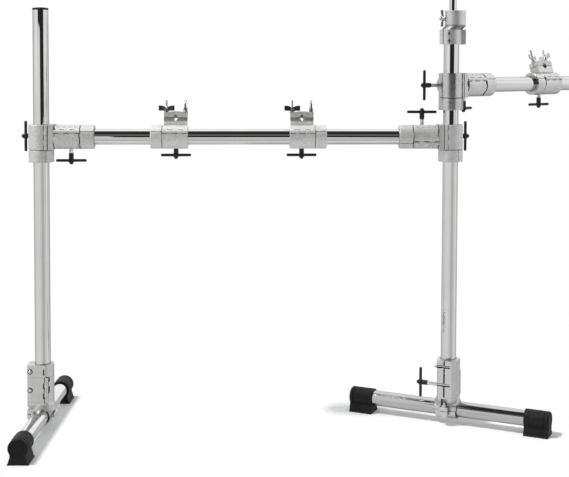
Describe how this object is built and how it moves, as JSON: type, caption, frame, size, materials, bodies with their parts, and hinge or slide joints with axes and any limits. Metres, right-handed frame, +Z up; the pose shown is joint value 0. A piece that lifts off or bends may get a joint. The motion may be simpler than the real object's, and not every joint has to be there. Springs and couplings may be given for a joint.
{
  "type": "drum rack frame",
  "caption": "Drum rack frame: T legs, height-adjustable crossbar, swinging side arm and sliding jaw clamps, of chrome tube and cast hinged clamps.",
  "frame": {"origin": "on the floor, in the middle of the whole outline", "axes": "+Z up, +X along the crossbar to the right, +Y to the back"},
  "size_m": [1.4426, 0.5158, 1.1605],
  "materials": {
    "chrome_tube": "polished chrome plate on steel tube",
    "chrome_hardware": "chrome plated bolts, pins and wing nuts",
    "cast_clamp": "satin tumbled die-cast aluminium",
    "handle_plastic": "black moulded plastic, slight sheen",
    "foot_rubber": "matt black moulded rubber"
  },
  "bodies": {
    "left_column": {"left_column": "chrome_tube", "left_leg_lock": "cast_clamp"},
    "left_base": {"left_base_tube": "chrome_tube", "left_base_feet": "foot_rubber", "left_leg_clamp": "cast_clamp", "left_leg_gates": "cast_clamp", "left_leg_bolts": "chrome_hardware"},
    "left_leg_handle": {"left_leg_handle": "handle_plastic"},
    "bar_frame": {"left_tee": "cast_clamp", "right_tee": "cast_clamp", "tee_gates": "cast_clamp", "tee_locks": "cast_clamp", "tee_bolts": "chrome_hardware", "crossbar": "chrome_tube"},
    "left_tee_column_handle": {"left_tee_column_handle": "handle_plastic"},
    "left_tee_bar_handle": {"left_tee_bar_handle": "handle_plastic"},
    "right_tee_column_handle": {"right_tee_column_handle": "handle_plastic"},
    "right_tee_bar_handle": {"right_tee_bar_handle": "handle_plastic"},
    "right_column": {"right_column": "chrome_tube", "right_leg_lock": "cast_clamp", "reducer": "cast_clamp"},
    "slim_tube": {"slim_tube": "chrome_tube"},
    "reducer_wing_screw": {"reducer_wing_screw": "chrome_hardware"},
    "right_base": {"right_base_tube": "chrome_tube", "right_base_feet": "foot_rubber", "right_leg_clamp": "cast_clamp", "right_leg_gates": "cast_clamp", "right_leg_bolts": "chrome_hardware"},
    "right_leg_handle": {"right_leg_handle": "handle_plastic"},
    "side_height_lock": {"side_height_lock": "cast_clamp"},
    "side_arm": {"side_tee": "cast_clamp", "side_tee_gates": "cast_clamp", "side_tee_bolts": "chrome_hardware", "side_arm": "chrome_tube"},
    "side_tee_column_handle": {"side_tee_column_handle": "handle_plastic"},
    "side_tee_bar_handle": {"side_tee_bar_handle": "handle_plastic"},
    "left_mount_lock": {"left_mount_lock": "cast_clamp"},
    "left_mount": {"left_mount_saddle": "cast_clamp", "left_mount_gate": "cast_clamp", "left_mount_bolts": "chrome_hardware"},
    "left_mount_jaw": {"left_mount_jaw": "cast_clamp"},
    "left_mount_handle": {"left_mount_handle": "handle_plastic"},
    "left_mount_wing_nut_1": {"left_mount_wing_nut_1": "chrome_hardware"},
    "left_mount_wing_nut_2": {"left_mount_wing_nut_2": "chrome_hardware"},
    "centre_mount_lock": {"centre_mount_lock": "cast_clamp"},
    "centre_mount": {"centre_mount_saddle": "cast_clamp", "centre_mount_gate": "cast_clamp", "centre_mount_bolts": "chrome_hardware"},
    "centre_mount_jaw": {"centre_mount_jaw": "cast_clamp"},
    "centre_mount_handle": {"centre_mount_handle": "handle_plastic"},
    "centre_mount_wing_nut_1": {"centre_mount_wing_nut_1": "chrome_hardware"},
    "centre_mount_wing_nut_2": {"centre_mount_wing_nut_2": "chrome_hardware"},
    "side_mount_lock": {"side_mount_lock": "cast_clamp"},
    "side_mount": {"side_mount_saddle": "cast_clamp", "side_mount_gate": "cast_clamp", "side_mount_bolts": "chrome_hardware"},
    "side_mount_jaw": {"side_mount_jaw": "cast_clamp"},
    "side_mount_handle": {"side_mount_handle": "handle_plastic"},
    "side_mount_wing_nut_1": {"side_mount_wing_nut_1": "chrome_hardware"},
    "side_mount_wing_nut_2": {"side_mount_wing_nut_2": "chrome_hardware"}
  },
  "joints": [
    {"name": "left_leg_swivel", "type": "hinge", "parent": "left_column", "child": "left_base", "pos_m": [-0.66968, 0, 0], "axis": [0, 0, 1], "range_deg": [-180, 180]},
    {"name": "bar_height", "type": "slide", "parent": "left_column", "child": "bar_frame", "axis": [0, 0, 1], "range_m": [-0.4, 0]},
    {"name": "right_leg_height", "type": "slide", "parent": "bar_frame", "child": "right_column", "axis": [0, 0, 1], "range_m": [0, 0.4]},
    {"name": "right_leg_swivel", "type": "hinge", "parent": "right_column", "child": "right_base", "pos_m": [0.33032, 0, 0], "axis": [0, 0, 1], "range_deg": [-180, 180]},
    {"name": "side_arm_height", "type": "slide", "parent": "right_column", "child": "side_height_lock", "axis": [0, 0, 1], "range_m": [-0.015, 0.05]},
    {"name": "side_arm_swing", "type": "hinge", "parent": "side_height_lock", "child": "side_arm", "pos_m": [0.33032, 0, 0.844], "axis": [0, 0, 1], "range_deg": [-122, 32]},
    {"name": "slim_tube_height", "type": "slide", "parent": "right_column", "child": "slim_tube", "axis": [0, 0, 1], "range_m": [-0.1, 0.02]},
    {"name": "reducer_wing_screw_turn", "type": "hinge", "parent": "right_column", "child": "reducer_wing_screw", "pos_m": [0.33032, 0, 1.0085], "axis": [-1, 0, 0], "continuous": true},
    {"name": "left_leg_handle_turn", "type": "hinge", "parent": "left_base", "child": "left_leg_handle", "pos_m": [-0.69709, 0.00144, 0.102], "axis": [0.0523, 0.9986, 0], "continuous": true},
    {"name": "right_leg_handle_turn", "type": "hinge", "parent": "right_base", "child": "right_leg_handle", "pos_m": [0.31764, -0.02435, 0.102], "axis": [-0.887, 0.4617, 0], "continuous": true},
    {"name": "left_tee_column_handle_turn", "type": "hinge", "parent": "bar_frame", "child": "left_tee_column_handle", "pos_m": [-0.66968, 0.02745, 0.7165], "axis": [-1, 0, 0], "continuous": true},
    {"name": "left_tee_bar_handle_turn", "type": "hinge", "parent": "bar_frame", "child": "left_tee_bar_handle", "pos_m": [-0.60207, 0.02745, 0.7165], "axis": [0, 0, -1], "continuous": true},
    {"name": "right_tee_column_handle_turn", "type": "hinge", "parent": "bar_frame", "child": "right_tee_column_handle", "pos_m": [0.33032, 0.02745, 0.7165], "axis": [1, 0, 0], "continuous": true},
    {"name": "right_tee_bar_handle_turn", "type": "hinge", "parent": "bar_frame", "child": "right_tee_bar_handle", "pos_m": [0.26271, 0.02745, 0.7165], "axis": [0, 0, 1], "continuous": true},
    {"name": "side_tee_column_handle_turn", "type": "hinge", "parent": "side_arm", "child": "side_tee_column_handle", "pos_m": [0.31577, 0.02328, 0.844], "axis": [-0.848, -0.5299, 0], "continuous": true},
    {"name": "side_tee_bar_handle_turn", "type": "hinge", "parent": "side_arm", "child": "side_tee_bar_handle", "pos_m": [0.37311, 0.05911, 0.844], "axis": [0, 0, -1], "continuous": true},
    {"name": "left_mount_travel", "type": "slide", "parent": "bar_frame", "child": "left_mount_lock", "axis": [1, 0, 0], "range_m": [-0.13, 0.11]},
    {"name": "left_mount_tilt", "type": "hinge", "parent": "left_mount_lock", "child": "left_mount", "pos_m": [-0.34668, 0, 0.7165], "axis": [1, 0, 0], "range_deg": [-90, 90]},
    {"name": "left_mount_jaw_lift", "type": "slide", "parent": "left_mount", "child": "left_mount_jaw", "axis": [0, 0.342, 0.9397], "range_m": [0, 0.008]},
    {"name": "left_mount_handle_turn", "type": "hinge", "parent": "left_mount", "child": "left_mount_handle", "pos_m": [-0.34668, 0.02745, 0.7165], "axis": [0, 0, -1], "continuous": true},
    {"name": "left_mount_wing_nut_1_turn", "type": "hinge", "parent": "left_mount_jaw", "child": "left_mount_wing_nut_1", "pos_m": [-0.36988, 0.0256, 0.77221], "axis": [0, 0.342, 0.9397], "continuous": true},
    {"name": "left_mount_wing_nut_2_turn", "type": "hinge", "parent": "left_mount_jaw", "child": "left_mount_wing_nut_2", "pos_m": [-0.32348, 0.0256, 0.77221], "axis": [0, 0.342, 0.9397], "continuous": true},
    {"name": "centre_mount_travel", "type": "slide", "parent": "bar_frame", "child": "centre_mount_lock", "axis": [1, 0, 0], "range_m": [-0.11, 0.17]},
    {"name": "centre_mount_tilt", "type": "hinge", "parent": "centre_mount_lock", "child": "centre_mount", "pos_m": [-0.03718, 0, 0.7165], "axis": [1, 0, 0], "range_deg": [-90, 90]},
    {"name": "centre_mount_jaw_lift", "type": "slide", "parent": "centre_mount", "child": "centre_mount_jaw", "axis": [0, 0.342, 0.9397], "range_m": [0, 0.008]},
    {"name": "centre_mount_handle_turn", "type": "hinge", "parent": "centre_mount", "child": "centre_mount_handle", "pos_m": [-0.03718, 0.02745, 0.7165], "axis": [0, 0, -1], "continuous": true},
    {"name": "centre_mount_wing_nut_1_turn", "type": "hinge", "parent": "centre_mount_jaw", "child": "centre_mount_wing_nut_1", "pos_m": [-0.06038, 0.0256, 0.77221], "axis": [0, 0.342, 0.9397], "continuous": true},
    {"name": "centre_mount_wing_nut_2_turn", "type": "hinge", "parent": "centre_mount_jaw", "child": "centre_mount_wing_nut_2", "pos_m": [-0.01398, 0.0256, 0.77221], "axis": [0, 0.342, 0.9397], "continuous": true},
    {"name": "side_mount_travel", "type": "slide", "parent": "side_arm", "child": "side_mount_lock", "axis": [0.848, 0.5299, 0], "range_m": [-0.14, 0.07]},
    {"name": "side_mount_tilt", "type": "hinge", "parent": "side_mount_lock", "child": "side_mount", "pos_m": [0.61611, 0.17858, 0.844], "axis": [0.848, 0.5299, 0], "range_deg": [-90, 90]},
    {"name": "side_mount_jaw_lift", "type": "slide", "parent": "side_mount", "child": "side_mount_jaw", "axis": [-0.1812, 0.29, 0.9397], "range_m": [0, 0.008]},
    {"name": "side_mount_handle_turn", "type": "hinge", "parent": "side_mount", "child": "side_mount_handle", "pos_m": [0.60157, 0.20186, 0.844], "axis": [0, 0, -1], "continuous": true},
    {"name": "side_mount_wing_nut_1_turn", "type": "hinge", "parent": "side_mount_jaw", "child": "side_mount_wing_nut_1", "pos_m": [0.58287, 0.18799, 0.8997], "axis": [-0.1812, 0.29, 0.9397], "continuous": true},
    {"name": "side_mount_wing_nut_2_turn", "type": "hinge", "parent": "side_mount_jaw", "child": "side_mount_wing_nut_2", "pos_m": [0.62222, 0.21258, 0.8997], "axis": [-0.1812, 0.29, 0.9397], "continuous": true}
  ],
  "couplings": [
    {"joint": "right_leg_height", "follows": "bar_height", "ratio": -1}
  ]
}
